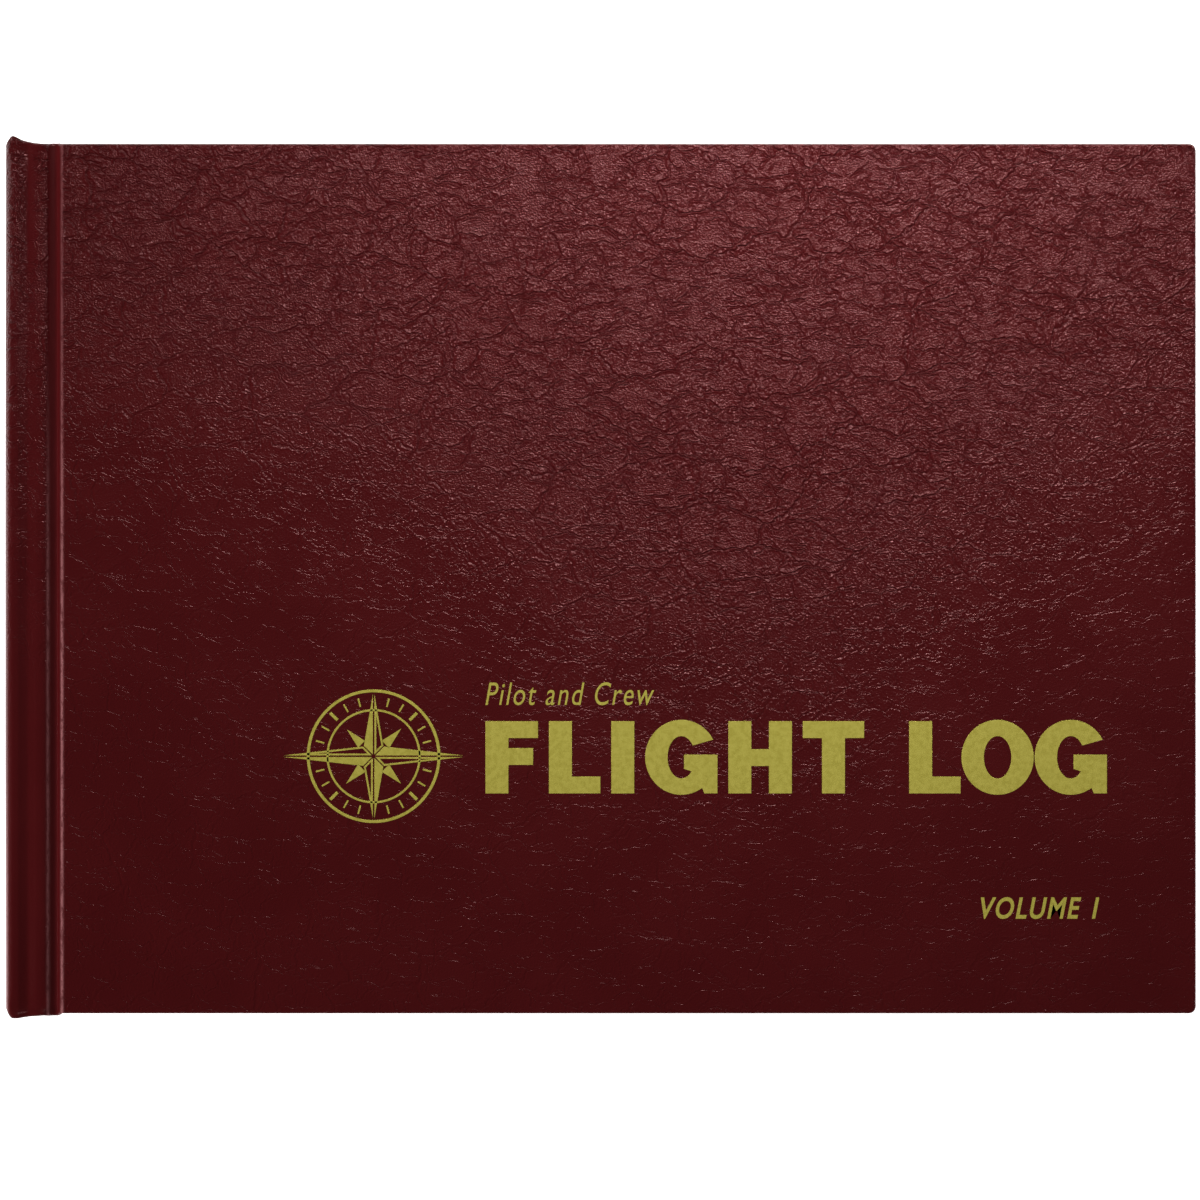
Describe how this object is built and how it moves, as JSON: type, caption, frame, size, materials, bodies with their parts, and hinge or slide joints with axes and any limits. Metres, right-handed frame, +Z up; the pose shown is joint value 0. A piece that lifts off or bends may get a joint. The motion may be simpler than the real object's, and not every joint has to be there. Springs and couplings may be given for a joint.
{
  "type": "pilot logbook",
  "caption": "Slim landscape casebound logbook: two hinged leatherette boards, a square spine with pressed joints, endpapers, and sewn ledger sections that turn with the covers.",
  "frame": {"origin": "middle of the underside of the closed book, lying on its back cover", "axes": "+X from the spine to the fore-edge, +Y from the tail to the head, +Z up through the front cover"},
  "size_m": [0.2176, 0.161, 0.0131],
  "materials": {
    "leatherette": "satin",
    "greyboard": "matte",
    "card": "matte",
    "ledger_paper": "matte",
    "endpaper": "matte",
    "gauze": "matte",
    "kraft": "matte",
    "thread": "matte",
    "band": "matte"
  },
  "bodies": {
    "bound_spine": {"spine_leather": "leatherette", "spine_inlay": "card", "spine_lining": "kraft", "spine_mull": "gauze", "headband": "band", "tailband": "band", "front_endpaper_fold": "endpaper", "back_endpaper_fold": "endpaper", "section_1_fold": "ledger_paper", "section_1_thread": "thread", "section_2_fold": "ledger_paper", "section_2_thread": "thread", "section_3_fold": "ledger_paper", "section_3_thread": "thread", "section_4_fold": "ledger_paper", "section_4_thread": "thread", "section_5_fold": "ledger_paper", "section_5_thread": "thread", "section_6_fold": "ledger_paper", "section_6_thread": "thread"},
    "front_cover": {"front_cover_leather": "leatherette", "front_board": "greyboard", "front_mull_flange": "gauze", "front_pastedown": "endpaper"},
    "front_flyleaf": {"front_flyleaf": "endpaper"},
    "back_cover": {"back_cover_leather": "leatherette", "back_board": "greyboard", "back_mull_flange": "gauze", "back_pastedown": "endpaper"},
    "back_flyleaf": {"back_flyleaf": "endpaper"},
    "section_1_leaves": {"section_1_leaves": "ledger_paper"},
    "section_2_leaves": {"section_2_leaves": "ledger_paper"},
    "section_3_leaves": {"section_3_leaves": "ledger_paper"},
    "section_4_leaves": {"section_4_leaves": "ledger_paper"},
    "section_5_leaves": {"section_5_leaves": "ledger_paper"},
    "section_6_leaves": {"section_6_leaves": "ledger_paper"}
  },
  "joints": [
    {"name": "front_cover_hinge", "type": "hinge", "parent": "bound_spine", "child": "front_cover", "pos_m": [-0.0996, 0, 0.0132], "axis": [0, -1, 0], "range_deg": [0, 180]},
    {"name": "front_flyleaf_hinge", "type": "hinge", "parent": "bound_spine", "child": "front_flyleaf", "pos_m": [-0.0996, 0, 0.0132], "axis": [0, -1, 0], "range_deg": [0, 178.3]},
    {"name": "section_1_hinge", "type": "hinge", "parent": "bound_spine", "child": "section_1_leaves", "pos_m": [-0.0996, 0, 0.0132], "axis": [0, -1, 0], "range_deg": [0, 174.7]},
    {"name": "section_2_hinge", "type": "hinge", "parent": "bound_spine", "child": "section_2_leaves", "pos_m": [-0.0996, 0, 0.0132], "axis": [0, -1, 0], "range_deg": [0, 171.1]},
    {"name": "section_3_hinge", "type": "hinge", "parent": "bound_spine", "child": "section_3_leaves", "pos_m": [-0.0996, 0, 0.0132], "axis": [0, -1, 0], "range_deg": [0, 167.5]},
    {"name": "back_cover_hinge", "type": "hinge", "parent": "bound_spine", "child": "back_cover", "pos_m": [-0.0996, 0, -0.0001], "axis": [0, 1, 0], "range_deg": [0, 180]},
    {"name": "back_flyleaf_hinge", "type": "hinge", "parent": "bound_spine", "child": "back_flyleaf", "pos_m": [-0.0996, 0, -0.0001], "axis": [0, 1, 0], "range_deg": [0, 178.3]},
    {"name": "section_6_hinge", "type": "hinge", "parent": "bound_spine", "child": "section_6_leaves", "pos_m": [-0.0996, 0, -0.0001], "axis": [0, 1, 0], "range_deg": [0, 174.7]},
    {"name": "section_5_hinge", "type": "hinge", "parent": "bound_spine", "child": "section_5_leaves", "pos_m": [-0.0996, 0, -0.0001], "axis": [0, 1, 0], "range_deg": [0, 171.1]},
    {"name": "section_4_hinge", "type": "hinge", "parent": "bound_spine", "child": "section_4_leaves", "pos_m": [-0.0996, 0, -0.0001], "axis": [0, 1, 0], "range_deg": [0, 167.5]}
  ],
  "couplings": [
    {"joint": "front_flyleaf_hinge", "follows": "front_cover_hinge", "ratio": 0.99},
    {"joint": "section_1_hinge", "follows": "front_cover_hinge", "ratio": 0.97},
    {"joint": "section_2_hinge", "follows": "front_cover_hinge", "ratio": 0.95},
    {"joint": "section_3_hinge", "follows": "front_cover_hinge", "ratio": 0.93},
    {"joint": "back_flyleaf_hinge", "follows": "back_cover_hinge", "ratio": 0.99},
    {"joint": "section_6_hinge", "follows": "back_cover_hinge", "ratio": 0.97},
    {"joint": "section_5_hinge", "follows": "back_cover_hinge", "ratio": 0.95},
    {"joint": "section_4_hinge", "follows": "back_cover_hinge", "ratio": 0.93}
  ]
}
